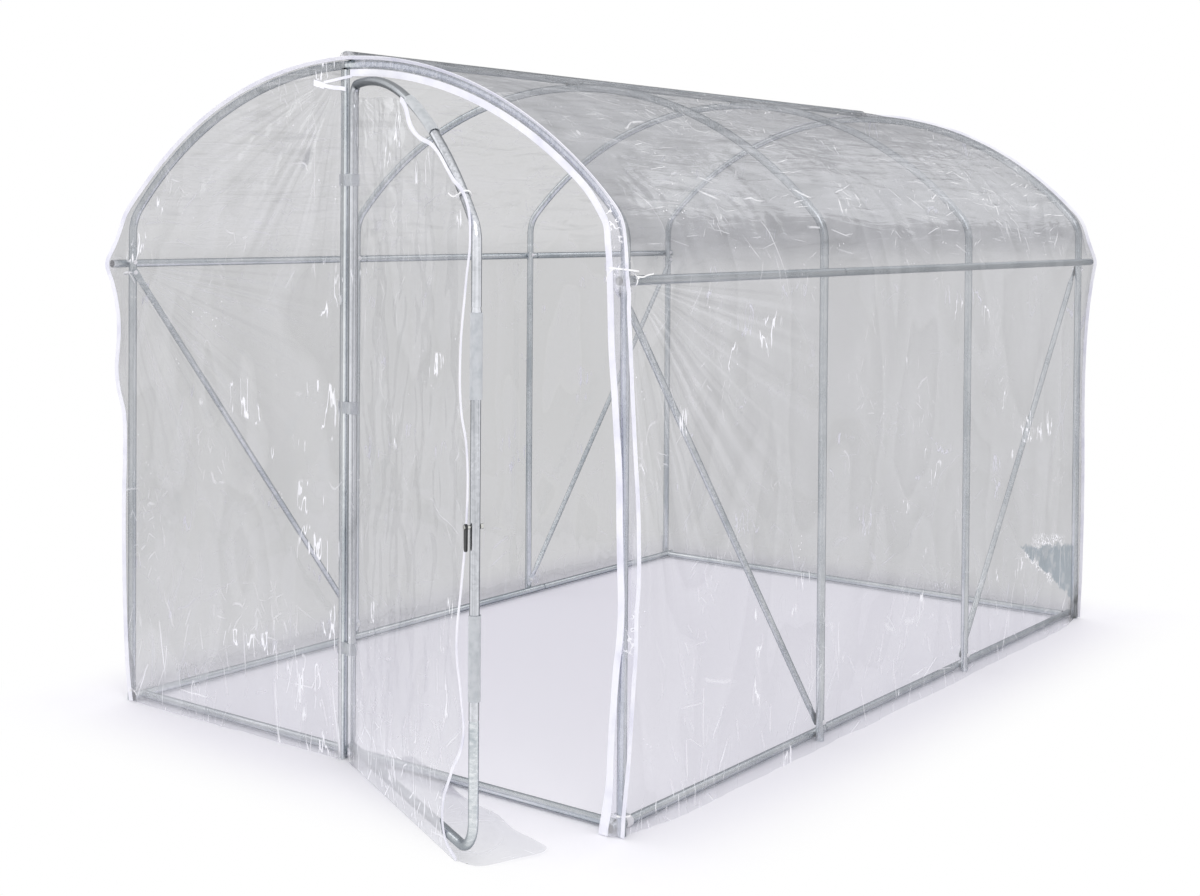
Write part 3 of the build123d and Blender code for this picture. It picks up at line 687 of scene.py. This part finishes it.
# film inside an end seam; inner None spans the whole width, else it stops at that x
def gablePlace(end, inner):
    def place(a, b):
        right, left = seam(b / 2, end), seam(1 - b / 2, end)
        start = left[:, 0]
        stop = right[:, 0] if inner is None else inner
        x = start + (stop - start) * a
        z = right[:, 2]
        side = np.where(x > 0, right[:, 0] - x, x - left[:, 0])
        edgeDepth = (front - left[:, 1]) if end < 0 else (right[:, 1] - back)
        near = nearness(side, 0.01)
        depth = gableDepth(x, z, reach + 0.0006) * (1 - near) + edgeDepth * near
        points = np.column_stack([x, np.zeros_like(x), z])
        topLine = bowZ + np.sqrt(np.maximum(bowRadius ** 2 - x ** 2, 0))
        toHoop = np.minimum(np.abs(np.abs(x) - halfSpan), np.abs(topLine - z))
        free = (1 - nearness(toHoop, 0.06)) * (1 - nearness(side, 0.05))
        free *= 1 - nearness(np.hypot(np.abs(x) - eaveX, z - eaveZ), 0.1)
        wave = folds(points, (5 * end, (0.45, 1, 1.7), 0.3, 0.9), (9, (0.4, 1, 0.9), 0.13, 0.35, "crease"),
                     (15, (1, 1, 1), 0.08, 0.2))
        if end < 0:
            free *= 1 - nearness(x - postX, 0.05)
            turned = np.arctan2(postX - x, np.maximum(hoopTop - z, 1e-3))
            wave += 0.5 * np.sin(turned * 21) * ease(hoopTop - z, 0.9, 0.2)
        points[:, 1] = outFrom(end, depth + gableShape["fold"] * wave * free)
        points[:, 2] = np.maximum(points[:, 2], onGround)
        return points
    return place


cell = gableShape["cellLength"]
halfRows = round(outlineLength / 2 / cell)
gables = (("backFilm", 2, gablePlace(1, None), "back_film", (2.04, 2.03), 3.75, ["hoop_4_bow"]),
          ("frontFilm", 1, gablePlace(-1, gableShape["middleEdge"]), "front_film", (1.03, 2.03), 1.87,
           ["hoop_1_bow", "door_post"]))
for name, halves, place, node, flat, area, rests in gables:
    gableFilm = sheetGrid(name, round(halves * halfSpan / cell), halfRows, place)
    faceAway(gableFilm, (0, 0, 1))
    finishPiece(gableFilm, film, "frame")
    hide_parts(node)
print("gable films")

doorFilmShape = {
    "out": filmGap, "tapeStart": 0.44, "hingeEdge": 0.0355, "weltWidth": 0.0115, "weltThickness": 0.0014,
    "fold": 0.01, "columns": 64, "cellLength": 0.012,
    "edge": [(0.046, 1.904), (0.12, 1.888), (0.22, 1.88), (0.34, 1.874), (0.43, 1.86), (0.474, 1.834),
             (0.5, 1.795), (0.57, 1.757), (0.69, 1.724), (0.815, 1.645), (0.906, 1.59), (0.93, 1.515),
             (0.905, 1.4), (0.872, 1.23), (0.88, 1.09), (0.915, 1.01), (0.916, 0.82), (0.888, 0.68),
             (0.858, 0.52), (0.89, 0.405), (0.905, 0.32), (0.824, 0.205), (0.77, 0.1), (0.79, 0.035),
             (0.866, 0.004)]}
weltLine = smoothLine(doorFilmShape["edge"])
doorRows = round(lineRun(weltLine)[-1] / doorFilmShape["cellLength"])


# the door film hangs on the leaf's outer face, from the hinge tube to its welt
def placeDoor(a, b):
    edge = alongLine(weltLine, 1 - b)
    u = doorFilmShape["hingeEdge"] + (edge[:, 0] - doorFilmShape["hingeEdge"]) * a
    z = edge[:, 1]
    points = np.column_stack([u, np.zeros_like(u), z])
    free = ease(u, 0.05, 0.16) * ease(z, 0, 0.12) * (1 - nearness(u - latchX, 0.03))
    wave = folds(points, (41, (0.35, 1, 1.9), 0.26, 0.9), (47, (0.4, 1, 1), 0.12, 0.4, "crease"))
    return leafPoint(u, z, doorFilmShape["out"] + doorFilmShape["fold"] * wave * free)


doorFilm = sheetGrid("doorFilm", doorFilmShape["columns"], doorRows, placeDoor)
faceAway(doorFilm, (0.2, 0.5, 1))
finishPiece(doorFilm, film, "door")
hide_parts("door_film")

skirtShape = {"fold": 0.009, "lift": 0.0022, "width": 0.86,
              "edge": [(0.866, 0.014), (0.905, 0.03), (0.921, 0.085), (0.917, 0.15), (0.9, 0.224), (0.827, 0.226),
                       (0.72, 0.21), (0.6, 0.212), (0.47, 0.19), (0.25, 0.196), (0.06, 0.186)]}
skirtLine = smoothLine(skirtShape["edge"])


# the end of the door film lies on the ground behind the leaf
def placeSkirt(a, b):
    far = alongLine(skirtLine, 1 - b)
    nearU = doorFilmShape["hingeEdge"] + (skirtShape["width"] - doorFilmShape["hingeEdge"]) * b
    u = nearU + (far[:, 0] - nearU) * a
    inward = far[:, 1] * a
    points = np.column_stack([u, inward, np.zeros_like(u)])
    free = ease(u, 0.4, 0.62) * ease(inward, 0.05, 0.12)
    z = skirtShape["lift"] + skirtShape["fold"] * free * (0.5 + folds(points, (3, (1, 0.7, 1), 0.12, 0.5)))
    return leafPoint(u, z, doorFilmShape["out"] - inward)


doorSkirt = sheetGrid("doorSkirt", 18, 70, placeSkirt)
faceAway(doorSkirt, (0.4, -1.3, -1))
finishPiece(doorSkirt, film, "door")
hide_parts("door_skirt")
print("door film")


# a flat tape whose one edge follows the line; across is its direction at each point
def tapeAlong(name, line, across, width, thickness, cellLength=0.01):
    def place(a, b):
        return alongLine(line, b) + alongLine(line, b, across) * (a * width)[:, None]
    ribbon = sheetGrid(name, 2, max(8, round(lineRun(line)[-1] / cellLength)), place)
    applied(ribbon, "SOLIDIFY", thickness=thickness, offset=0)
    smoothBy(40)
    return ribbon


weltShape = {"width": 0.0122, "thickness": 0.0016, "lean": 0.69, "wallLean": 0.12}
seamShares = np.linspace(0, 1, 520)
for weltName, end in (("frontWelt", -1), ("backWelt", 1)):
    line = seam(seamShares, end)
    lean = np.insert(outwardOf(outline, seamShares), 1, 0, axis=1)
    flop = np.where(line[:, 0] > 0, ease(line[:, 2], 1.3, 1.75), 1)  # on the right wall the welt flops outwards
    tip = weltShape["wallLean"] + (weltShape["lean"] - weltShape["wallLean"]) * flop
    lean *= np.sqrt(1 - tip ** 2)[:, None]
    lean[:, 1] += tip * end
    line[:, 2] = np.maximum(line[:, 2], 0.002)
    lean[line[:, 2] < 0.01, 2] = 0
    welt = tapeAlong(weltName, line, lean, weltShape["width"], weltShape["thickness"])
    finishPiece(welt, tape, "frame")
    if end < 0:
        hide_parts("front_edge_tape")

tapeLine = weltLine[np.argmax(weltLine[:, 0] > doorFilmShape["tapeStart"]):]  # the top edge is left bare
weltSpace = leafPoint(tapeLine[:, 0], tapeLine[:, 1], doorFilmShape["out"] + 0.0006)
weltWay = np.gradient(tapeLine, axis=0)
weltWay /= np.linalg.norm(weltWay, axis=1)[:, None] + 1e-9
weltSide = leafPoint(hingeX - weltWay[:, 1], weltWay[:, 0], 0) - leafPoint(hingeX, 0, 0)
weltSide *= (1 + 1.2 * nearness(lineRun(tapeLine) - 0.07, 0.06))[:, None]  # a wide tongue at its top
doorWelt = tapeAlong("doorWelt", weltSpace, weltSide, doorFilmShape["weltWidth"], doorFilmShape["weltThickness"])
finishPiece(doorWelt, tape, "door")

# strip of film from the seam round the hoop on the door side, to its white inner band
stripShape = {
    "bowInset": 0.0166, "bowShift": 0.0218, "depth": -0.026, "bandWidth": 0.0195, "bandThickness": 0.0016,
    "crumple": 0.004, "seamShare": 0.492,
    "edge": [(0, 0.954), (0.018, 0.956), (0.066, 0.965), (0.118, 0.97), (0.219, 0.972), (0.321, 0.979),
             (0.423, 0.987), (0.475, 0.994), (0.526, 0.999), (0.602, 1.001), (0.677, 0.998), (0.776, 0.995),
             (0.926, 0.991), (1.026, 0.983), (1.126, 0.975), (1.225, 0.966), (1.376, 0.96), (1.451, 0.956),
             (1.501, 0.951)]}
stripEdge = smoothLine(stripShape["edge"], 8)
# the front hoop's centre line on the door side, from the ground to the middle
hoopLine = np.concatenate([[(halfSpan, 0)],
                           arcPoints((shoulderX, shoulderZ), shoulderRadius, 0, meetBow, 10),
                           arcPoints((0, bowZ), bowRadius, meetBow, 88.7, 60)])


# places on and beside the hoop: inset towards the door, depth behind the hoop's centre
def besideHoop(places, inset, depth):
    inset = np.broadcast_to(inset, places.shape)[:, None]
    flat = alongLine(hoopLine, places) - outwardOf(hoopLine, places) * inset
    return np.insert(flat, 1, front + depth, axis=1)


def bandEdge(places, extra=0):
    height = alongLine(hoopLine, places)[:, 1]
    share = ease(height, 1.66, 1.5)  # the band leaves the tube at the shoulder
    legInset = halfSpan - np.interp(height, stripEdge[:, 0], stripEdge[:, 1])
    bowInset = stripShape["bowInset"] - stripShape["bowShift"] * outwardOf(hoopLine, places)[:, 0]
    return besideHoop(places, bowInset + (legInset - bowInset) * share + extra, stripShape["depth"])


# from the seam over the rail's end and the front of the hoop to the band
def placeStrip(a, b):
    edge, onHoop = seam(b * stripShape["seamShare"], -1), besideHoop(b, 0, -filmGap - 0.0001)
    band = bandEdge(b, -0.001)
    low = 0.6 * onHoop + 0.4 * band
    corner = 0.6 * edge + 0.4 * onHoop
    overRail = (1 - ease(np.abs(onHoop[:, 2] - eaveZ), 0.017, 0.06))[:, None]
    for leg, x in ((corner, eaveX + 0.0137), (onHoop, eaveX - 0.0165)):
        leg[:, :2] += (np.array([x, railFront - 0.0025]) - leg[:, :2]) * overRail
    shares = [np.interp(a, [0, 0.2, 0.4, 0.6, 1], row)[:, None] for row in np.eye(5)]
    points = sum(leg * share for leg, share in zip((edge, corner, onHoop, low, band), shares))
    loose = ease(a, 0.6, 0.75) * (1 - ease(a, 0.88, 1))
    crumple = folds(points, (23, (1, 1, 0.5), 0.06, 1), (29, (1, 1, 1), 0.03, 0.4, "crease"))
    points[:, 1] -= stripShape["crumple"] * np.abs(crumple) * loose
    points[:, 2] = np.maximum(points[:, 2], 0.002)
    return points


doorStrip = sheetGrid("doorStrip", 20, 300, placeStrip)
finishPiece(doorStrip, stripFilm, "frame")

bandShares = np.linspace(0.0006, 1, 300)
bandLine = bandEdge(bandShares)
bandWay = (bandEdge(bandShares, stripShape["bandWidth"]) - bandLine) / stripShape["bandWidth"]
bandWay *= (1 + 0.45 * ease(bandLine[:, 2], 0.2, 0.05))[:, None]  # it flares at the foot
doorBand = tapeAlong("doorBand", bandLine, bandWay, stripShape["bandWidth"], stripShape["bandThickness"])
finishPiece(doorBand, tape, "frame")
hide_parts("door_side_band")

# two straps and a patch that hold the film to the top of the door post
strapShape = {
    "width": 0.0115, "thickness": 0.0016, "cellLength": 0.006, "widths": {"lower": 1, "upper": 0.7, "patch": 1.6},
    "lower": [(-0.092, -0.017, 1.926), (-0.05, -0.017, 1.918), (-0.02, -0.0165, 1.915), (0.000, -0.0165, 1.911)],
    "upper": [(-0.088, -0.017, 1.936), (-0.052, -0.0165, 1.94), (-0.014, -0.016, 1.945), (0.024, -0.0155, 1.949)],
    "patch": [(-0.13, -0.0165, 1.932), (-0.108, -0.0165, 1.926), (-0.088, -0.0165, 1.921)]}


# a tape that stands on edge along a smooth line
def uprightTape(name, spots, width, thickness, cellLength):
    line = smoothLine(spots)
    return tapeAlong(name, line, np.tile([0, 0, 1], (len(line), 1)), width, thickness, cellLength)


for strapName, wide in strapShape["widths"].items():
    spots = [(x, front + y, z) for x, y, z in strapShape[strapName]]
    strap = uprightTape(strapName + "Strap", spots, strapShape["width"] * wide, strapShape["thickness"],
                        strapShape["cellLength"])
    finishPiece(strap, tape, "frame")
print("welts, bands and straps")


# puts a piece made at the origin, along Z, in its place: axis is where its Z goes, side where its X goes
def putInPlace(piece, spot, axis, side):
    upAxis = Vector(axis).normalized()
    sideAxis = (Vector(side) - upAxis * Vector(side).dot(upAxis)).normalized()
    turned = Matrix((sideAxis, upAxis.cross(sideAxis), upAxis)).transposed().to_4x4()
    turned.translation = Vector(spot)
    piece.data.transform(turned)
    piece.data.update()


def joinPieces(pieces, name):
    only()
    for piece in pieces:
        piece.select_set(True)
    bpy.context.view_layer.objects.active = pieces[0]
    bpy.ops.object.join()
    smoothBy(40)
    return named(bpy.context.object, name)


# cap nut on a washer, its foot at the origin: made once and copied
capNut = {"washer": 0.0072, "washerDepth": 0.0012, "across": 0.0056, "nutDepth": 0.004, "rim": 0.0007,
          "soft": 0.0004, "domeSteps": ((0.0012, 0.86), (0.001, 0.74), (0.0006, 0.45))}


def makeCapNut():
    rounds = []
    for sides, radius, depth, foot in ((24, capNut["washer"], capNut["washerDepth"], 0),
                                       (6, capNut["across"], capNut["nutDepth"], capNut["washerDepth"])):
        only()
        place = (0, 0, foot + depth / 2)
        bpy.ops.mesh.primitive_cylinder_add(vertices=sides, radius=radius, depth=depth, location=place)
        bpy.ops.object.transform_apply(location=True)
        rounds.append(bpy.context.object)
    nut = rounds[1]
    bpy.ops.object.mode_set(mode="EDIT")
    bpy.ops.mesh.select_all(action="DESELECT")
    bpy.ops.object.mode_set(mode="OBJECT")
    for face in nut.data.polygons:
        face.select = face.normal.z > 0.9
    bpy.ops.object.mode_set(mode="EDIT")
    bpy.ops.mesh.inset(thickness=capNut["rim"])
    for lift, narrow in capNut["domeSteps"]:
        bpy.ops.mesh.extrude_region_move(TRANSFORM_OT_translate={"value": (0, 0, lift)})
        bpy.ops.transform.resize(value=(narrow, narrow, 1))
    bpy.ops.object.mode_set(mode="OBJECT")
    applied(nut, "BEVEL", width=capNut["soft"], segments=2)
    return joinPieces(rounds, "capNut")


nutModel = makeCapNut()
nutPlaces = {"eave": eaveZ + 0.004, "braceTop": eaveZ - 0.028, "braceFoot": 0.056, "tab": 0.0027, "fanShade": 0.0004}
nutSpots = {}
for sideName, side in (("Left", -1), ("Right", 1)):
    inner, outer = side * (halfSpan - tubeRadius), side * (halfSpan + tubeRadius - nutPlaces["fanShade"])
    onTab = inner - side * nutPlaces["tab"]
    for row, legY in enumerate(hoopPlaces, start=1):
        nutSpots[f"eaveNut{sideName}{row}"] = ((inner, legY, nutPlaces["eave"]), (-side, 0, 0))
    for row, bolt in enumerate(("braceTop", "braceFoot", "braceFoot", "braceTop"), start=1):
        legY, height = hoopPlaces[row - 1], nutPlaces[bolt]
        nutSpots[f"braceNutIn{sideName}{row}"] = ((onTab, legY, height), (-side, 0, 0))
        nutSpots[f"braceNutOut{sideName}{row}"] = ((outer, legY, height), (side, 0, 0))
for nutName, (spot, axis) in nutSpots.items():
    nut = nutModel.copy()
    nut.data = nutModel.data.copy()
    named(nut, nutName)
    bpy.context.scene.collection.objects.link(nut)
    putInPlace(nut, spot, axis, (0, 0, 1))
    finishPiece(nut, nylon, "frame")
bpy.data.objects.remove(nutModel)
print("cap nuts")

# cable tie: a loop, its head and its tail, made round Z with the head on +X
tieShape = {"width": 0.0046, "thickness": 0.0013, "head": (0.0065, 0.008, 0.0058), "headOut": 0.002,
            "rim": 0.0012, "pinch": 0.82, "soft": 0.0008, "tailWidth": 0.8}


# an open ring round Z, with its wall outside the radius
def openRing(sides, radius, depth, wall, loop=(1, 1)):
    only()
    bpy.ops.mesh.primitive_cylinder_add(vertices=sides, radius=radius, depth=depth, end_fill_type="NOTHING")
    ring = bpy.context.object
    ring.scale = (*loop, 1)
    bpy.ops.object.transform_apply(scale=True)
    applied(ring, "SOLIDIFY", thickness=wall, offset=1)
    return ring


def cableTie(name, spot, axis, headWay, loop, tailSpots, body):
    band = openRing(40, 1, tieShape["width"], tieShape["thickness"], loop)
    only()
    bpy.ops.mesh.primitive_cube_add(size=1)
    head = bpy.context.object
    head.scale = tieShape["head"]
    head.location = (loop[0] + tieShape["headOut"], 0, 0)
    headMiddle = tuple(head.location)
    bpy.ops.object.transform_apply(location=True, scale=True)
    for face in head.data.polygons:
        face.select = abs(face.normal.y) > 0.9
    bpy.ops.object.mode_set(mode="EDIT")
    bpy.ops.mesh.inset(thickness=tieShape["rim"], use_individual=True)
    bpy.ops.mesh.extrude_region_move(TRANSFORM_OT_translate={"value": (0, 0, 0)})
    bpy.ops.transform.resize(value=(1, tieShape["pinch"], 1), center_override=headMiddle)
    bpy.ops.object.mode_set(mode="OBJECT")
    applied(head, "BEVEL", width=tieShape["soft"], segments=2)
    whole = joinPieces([band, head], name)
    putInPlace(whole, spot, axis, headWay)
    if tailSpots:
        spots = [Vector(spot) + Vector(place) for place in tailSpots]
        tail = uprightTape("tail", spots, tieShape["width"] * tieShape["tailWidth"], tieShape["thickness"], 0.004)
        whole = joinPieces([whole, tail], name)
    finishPiece(whole, nylon, body)


tieSpots = {
    "eaveTieRight": ((eaveX, front - 0.006, eaveZ + 0.001), (0.12, 1, 0.05), (1, 0, 0.35), (0.0172, 0.0168),
                     [(0.0175, 0.002, 0.007), (0.022, 0.014, 0.006), (0.02, 0.036, 0.01), (0.021, 0.062, 0.013)]),
    "legTieRight": ((eaveX - 0.011, front - 0.026, eaveZ + 0.027), (0.05, 0.1, 1), (-0.15, -1, 0.1),
                    (0.0425, 0.0305),
                    [(0, -0.044, 0.001), (-0.01, -0.047, -0.008), (-0.02, -0.045, -0.02), (-0.024, -0.042, -0.03)]),
    "eaveTieLeft": ((-halfSpan - 0.012, front - 0.002, eaveZ - 0.032), (-0.15, 0.08, 1), (0.6, -0.8, 0),
                    (0.029, 0.019),
                    [(0.02, -0.018, 0), (0.03, -0.02, -0.006), (0.04, -0.018, -0.018), (0.046, -0.017, -0.03)]),
    "footTieRight": ((halfSpan - 0.002, front + 0.004, 0.052), (0, 0.1, 1), (-0.6, -0.8, 0), (0.021, 0.017), []),
    "footTieLeft": ((-halfSpan + 0.004, front + 0.004, 0.036), (0.3, 0.1, 1), (0.5, -0.8, 0), (0.022, 0.017),
                    [(0.013, -0.016, 0.000), (0.026, -0.018, -0.004), (0.038, -0.017, -0.014)])}
for tieName, (spot, axis, headWay, loop, tailSpots) in tieSpots.items():
    cableTie(tieName, spot, axis, headWay, loop, tailSpots, "frame")
# one more holds the door film to the bow's corner
bowSpot = leafPoint(0.8632, 1.6069)
bowAxis = leafPoint(0.725, 0) - leafPoint(0, 0.688)
bowTail = [leafOut * out - leafAlong * (out - 0.014) + Vector((0, 0, lift))
           for out, lift in ((0.018, -0.002), (0.026, -0.004), (0.034, 0.004))]
cableTie("doorBowTie", bowSpot, bowAxis, leafOut - leafAlong * 0.1, (0.0162, 0.0156), bowTail, "door")

# white clip round the right base rail, next to the corner
railClip = {"inner": 0.0129, "wall": 0.0016, "length": 0.026, "after": 0.056, "soft": 0.0005}
baseRail = middle("base_rail_right")
clip = openRing(36, railClip["inner"], railClip["length"], railClip["wall"])
applied(clip, "BEVEL", width=railClip["soft"], segments=2, limit_method="ANGLE")
smoothBy(40)
named(clip, "railClip")
putInPlace(clip, (baseRail.x, front + railClip["after"], baseRail.z), (0, 1, 0), (1, 0, 0))
finishPiece(clip, nylon, "frame")
print("ties and clips")

studio = {"sky": 0.95, "key": 62, "fill": 32, "floor": "#fcfbff", "nearFloor": 0.02, "farFloor": 0.42,
          "margin": 0.04, "aim": (0, 0.2, 0.9)}
white = (1, 1, 1, 1)
bpy.ops.mesh.primitive_plane_add(size=60, location=(0, 0, -0.0005))
floor = bpy.context.object
floor.name = "floor"
floorMaterial, place = newMaterial("pale studio floor")
parts = addNode("SeparateXYZ", {0: place})
besideHouse = abs(Field(parts.outputs["X"])) - (halfSpan + studio["margin"])
beyondEnd = abs(Field(parts.outputs["Y"]) - (front + back) / 2) - ((back - front) / 2 + studio["margin"])
matte = addNode("BsdfPrincipled", {"Base Color": studio["floor"], "Roughness": 0.9})
plainWhite = addNode("Emission", {"Color": white, "Strength": 1})
path = addNode("LightPath")
seen = largest(path.outputs["Is Camera Ray"], path.outputs["Is Glossy Ray"])
backdrop = ramp(largest(besideHouse, beyondEnd), studio["nearFloor"], studio["farFloor"]) * seen
floorMix = addNode("MixShader", {0: backdrop, 1: matte, 2: plainWhite})
addNode("OutputMaterial", {"Surface": floorMix})
floor.data.materials.append(floorMaterial)

world = bpy.data.worlds.new("studio")
bpy.context.scene.world = world
world.use_nodes = True
making["tree"] = world.node_tree
world.node_tree.nodes.clear()
path = addNode("LightPath")
seen = largest(*(path.outputs[ray] for ray in ("Is Camera Ray", "Is Glossy Ray", "Is Transmission Ray")))
lightSky = addNode("Background", {"Color": white, "Strength": studio["sky"]})
whiteSky = addNode("Background", {"Color": white, "Strength": 1})
skyMix = addNode("MixShader", {0: seen, 1: lightSky, 2: whiteSky})
addNode("OutputWorld", {"Surface": skyMix})

lamps = {"keyLamp": ((3.2, -4.2, 4.6), 3, studio["key"]), "fillLamp": ((-4.6, -1.5, 3.6), 3.2, studio["fill"]),
         "backLamp": ((1, 5.2, 4.2), 3, studio["fill"])}
for name, (spot, size, power) in lamps.items():
    bpy.ops.object.light_add(type="AREA", location=spot)
    lamp = bpy.context.object
    lamp.name = name
    lamp.data.size = size
    lamp.data.energy = power
    lamp.rotation_euler = (Vector(studio["aim"]) - Vector(spot)).to_track_quat("-Z", "Y").to_euler()

shot = {"place": (3.4777, -3.4108, 1.5499), "turn": 37.11, "tilt": -1.02, "roll": 0.42,
        "focal": 1689.8, "crossing": (600, 250.4), "picture": (1200, 896), "sensor": 36}
bpy.ops.object.camera_add()
camera = bpy.context.object
camera.name = "camera"
turn, tilt, roll = (math.radians(shot[k]) for k in ("turn", "tilt", "roll"))
level = Matrix.Rotation(turn, 4, "Z") @ Matrix.Rotation(math.pi / 2 + tilt, 4, "X") @ Matrix.Rotation(roll, 4, "Z")
camera.matrix_world = Matrix.Translation(Vector(shot["place"]) + Vector((0, front, 0))) @ level
wide, tall = shot["picture"]
camera.data.sensor_width = shot["sensor"]
camera.data.lens = shot["focal"] * shot["sensor"] / wide
camera.data.shift_x = (wide / 2 - shot["crossing"][0]) / wide
camera.data.shift_y = -(tall / 2 - shot["crossing"][1]) / wide
camera.data.clip_start, camera.data.clip_end = 0.05, 200
bpy.context.scene.camera = camera
bpy.context.scene.view_settings.view_transform = "Standard"

print("ready")
